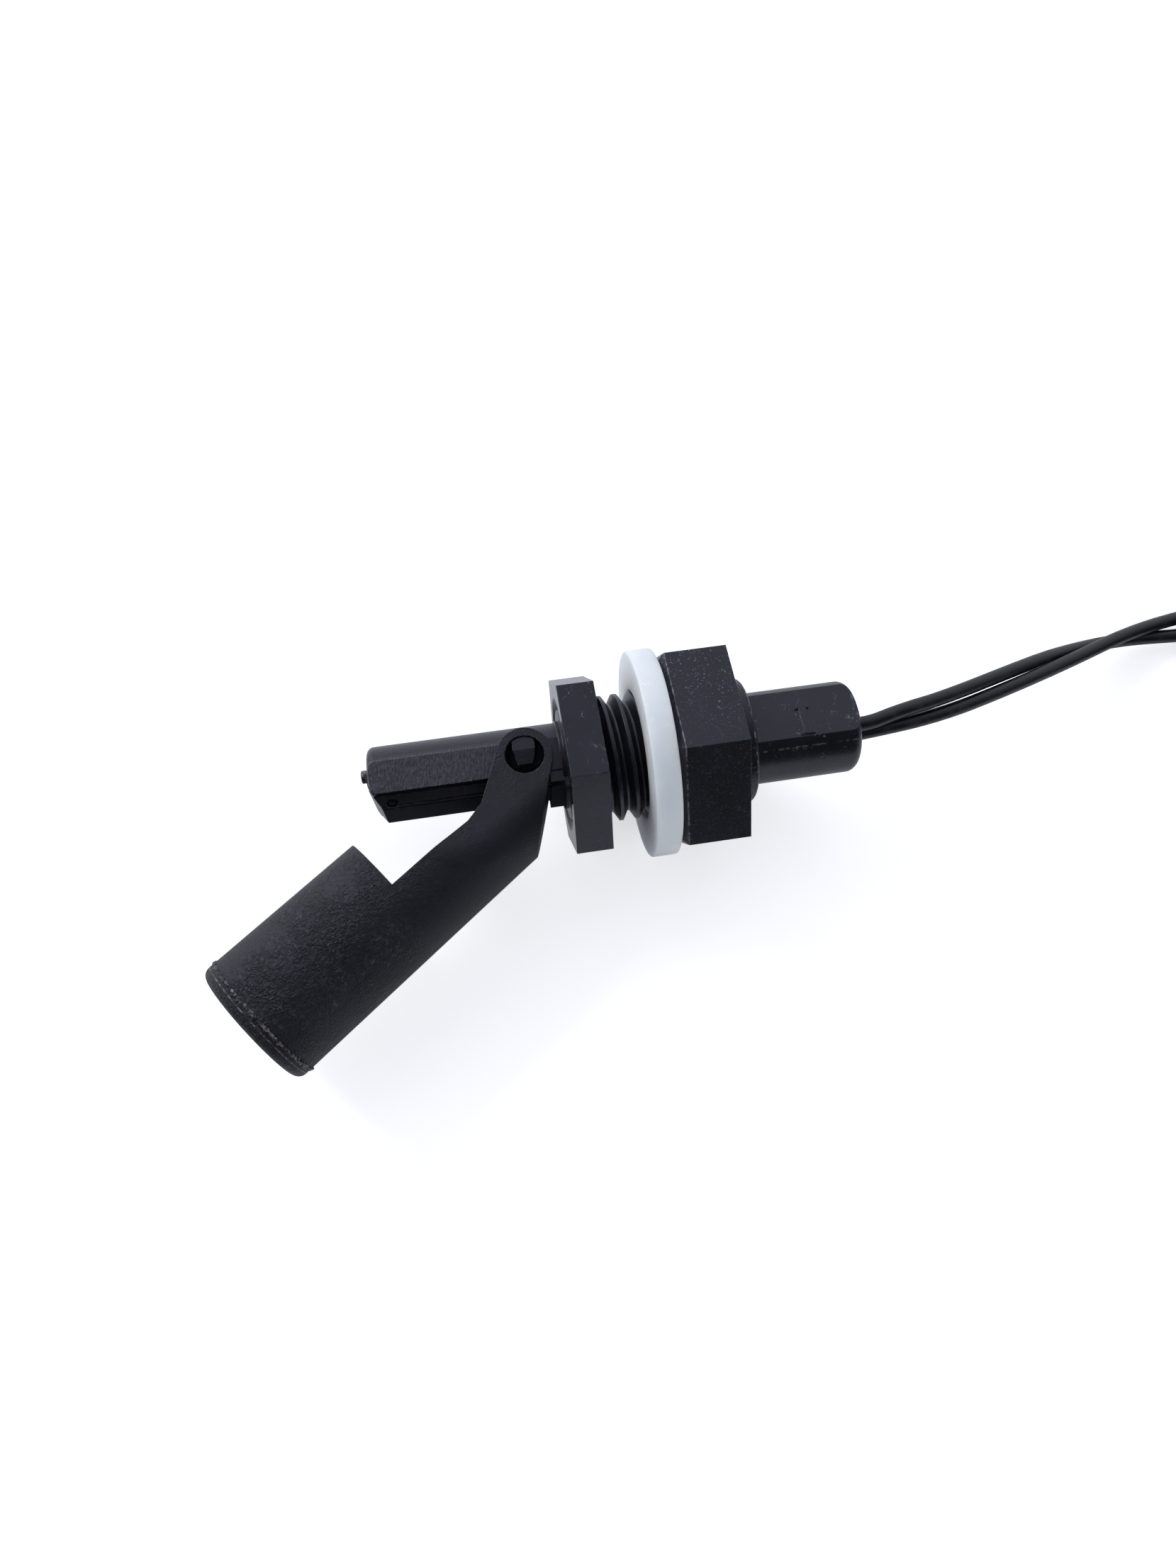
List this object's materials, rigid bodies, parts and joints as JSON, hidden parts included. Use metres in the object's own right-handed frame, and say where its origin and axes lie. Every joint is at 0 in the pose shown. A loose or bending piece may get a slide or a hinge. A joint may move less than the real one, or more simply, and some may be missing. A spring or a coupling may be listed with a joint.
{
  "type": "float level switch",
  "caption": "Side-mounted float level switch with a threaded body, lock nut, sealing washer, hinged float on two pegs and two loose leads.",
  "frame": {"origin": "on the thread's axis, in the plane of the hexagonal flange's sealing face", "axes": "+X along the thread towards the cable tail, +Z along the float's hinge axis"},
  "size_m": [0.1655, 0.0472, 0.026],
  "materials": {
    "body_plastic": "moulded, slightly glossy",
    "float_plastic": "moulded, fine grain",
    "silicone": "milky, soft",
    "magnet": "sintered ferrite",
    "glass": "clear",
    "blade": "bright nickel iron",
    "tinned_copper": "tinned",
    "sleeve": "clear amber",
    "solder": "bright",
    "resin": "cast",
    "lead_insulation": "smooth"
  },
  "bodies": {
    "housing": {"switch_body": "body_plastic", "sealing_washer": "silicone", "reed_glass": "glass", "near_reed_blade": "blade", "far_reed_blade": "blade", "return_wire": "tinned_copper", "return_sleeve": "sleeve", "far_solder_joint": "solder", "solder_joint_a": "solder", "solder_joint_b": "solder", "potting_plug": "resin", "lead_wire_a": "lead_insulation", "lead_wire_b": "lead_insulation", "lead_coil": "lead_insulation", "tinned_end_a": "tinned_copper", "tinned_end_b": "tinned_copper"},
    "float": {"float_shell": "float_plastic", "float_end_cap": "float_plastic", "float_magnet": "magnet"},
    "nut": {"lock_nut": "body_plastic"}
  },
  "joints": [
    {"name": "float_swing", "type": "hinge", "parent": "housing", "child": "float", "pos_m": [-0.0173, 0, 0], "axis": [0, 0, -1], "range_deg": [0, 34.85]},
    {"name": "nut_travel", "type": "slide", "parent": "housing", "child": "nut", "axis": [1, 0, 0], "range_m": [0, 0.0046]}
  ]
}
